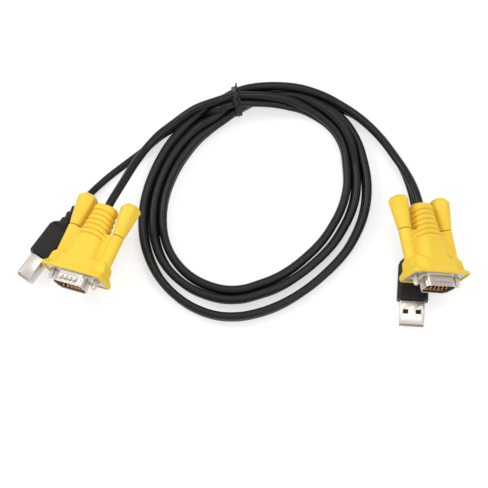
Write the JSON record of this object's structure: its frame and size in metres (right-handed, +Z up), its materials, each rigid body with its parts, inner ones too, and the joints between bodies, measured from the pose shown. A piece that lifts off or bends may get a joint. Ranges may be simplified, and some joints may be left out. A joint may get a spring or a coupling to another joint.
{
  "type": "kvm cable",
  "caption": "Coiled keyboard, video and mouse cable with yellow moulded VGA plugs, a USB type A plug and a USB type B plug, held by a twist tie.",
  "frame": {"origin": "middle of the footprint of the four plugs, on the surface that the cable lies on", "axes": "+X from the left plugs to the right plugs, +Y from the plugs' noses towards the twist tie, +Z up"},
  "size_m": [0.2154, 0.1213, 0.033],
  "materials": {
    "hood": "moulded soft vinyl, satin",
    "jacket": "smooth extruded vinyl, satin",
    "black_plastic": "moulded vinyl, satin",
    "tie": "plastic coated wire strip",
    "steel": "nickel plated pressed steel",
    "contact": "gold flashed contact pins",
    "carrier": "white moulded contact carrier"
  },
  "bodies": {
    "cable": {"coil": "jacket", "left_video_cord": "jacket", "left_usb_cord": "jacket", "right_video_cord": "jacket", "right_usb_cord": "jacket", "twist_tie": "tie", "left_video_hood": "hood", "left_video_connector_shell": "steel", "left_video_insulator": "black_plastic", "left_video_pin_01": "contact", "left_video_pin_02": "contact", "left_video_pin_03": "contact", "left_video_pin_04": "contact", "left_video_pin_05": "contact", "left_video_pin_06": "contact", "left_video_pin_07": "contact", "left_video_pin_08": "contact", "left_video_pin_09": "contact", "left_video_pin_10": "contact", "left_video_pin_11": "contact", "left_video_pin_12": "contact", "left_video_pin_13": "contact", "left_video_pin_14": "contact", "left_video_pin_15": "contact", "right_video_hood": "hood", "right_video_connector_shell": "steel", "right_video_insulator": "black_plastic", "right_video_pin_01": "contact", "right_video_pin_02": "contact", "right_video_pin_03": "contact", "right_video_pin_04": "contact", "right_video_pin_05": "contact", "right_video_pin_06": "contact", "right_video_pin_07": "contact", "right_video_pin_08": "contact", "right_video_pin_09": "contact", "right_video_pin_10": "contact", "right_video_pin_11": "contact", "right_video_pin_12": "contact", "right_video_pin_13": "contact", "right_video_pin_14": "contact", "right_video_pin_15": "contact", "usb_a_grip": "black_plastic", "usb_a_shell": "steel", "usb_a_tongue": "carrier", "usb_b_grip": "black_plastic", "usb_b_shell": "steel", "usb_b_core": "carrier"},
    "left_plug_left_thumbscrew": {"left_video_left_knob": "hood", "left_video_left_screw": "steel"},
    "left_plug_right_thumbscrew": {"left_video_right_knob": "hood", "left_video_right_screw": "steel"},
    "right_plug_left_thumbscrew": {"right_video_left_knob": "hood", "right_video_left_screw": "steel"},
    "right_plug_right_thumbscrew": {"right_video_right_knob": "hood", "right_video_right_screw": "steel"}
  },
  "joints": [
    {"name": "left_plug_left_turn", "type": "hinge", "parent": "cable", "child": "left_plug_left_thumbscrew", "pos_m": [-0.08998, -0.00718, 0.01413], "axis": [-0.4065, -0.913, 0.0349], "continuous": true},
    {"name": "left_plug_right_turn", "type": "hinge", "parent": "cable", "child": "left_plug_right_thumbscrew", "pos_m": [-0.06931, -0.01597, 0.02507], "axis": [-0.4065, -0.913, 0.0349], "continuous": true},
    {"name": "right_plug_left_turn", "type": "hinge", "parent": "cable", "child": "right_plug_left_thumbscrew", "pos_m": [0.08072, -0.013, 0.02392], "axis": [0.1868, -0.9793, 0.0785], "continuous": true},
    {"name": "right_plug_right_turn", "type": "hinge", "parent": "cable", "child": "right_plug_right_thumbscrew", "pos_m": [0.10079, -0.01035, 0.00928], "axis": [0.1868, -0.9793, 0.0785], "continuous": true}
  ]
}
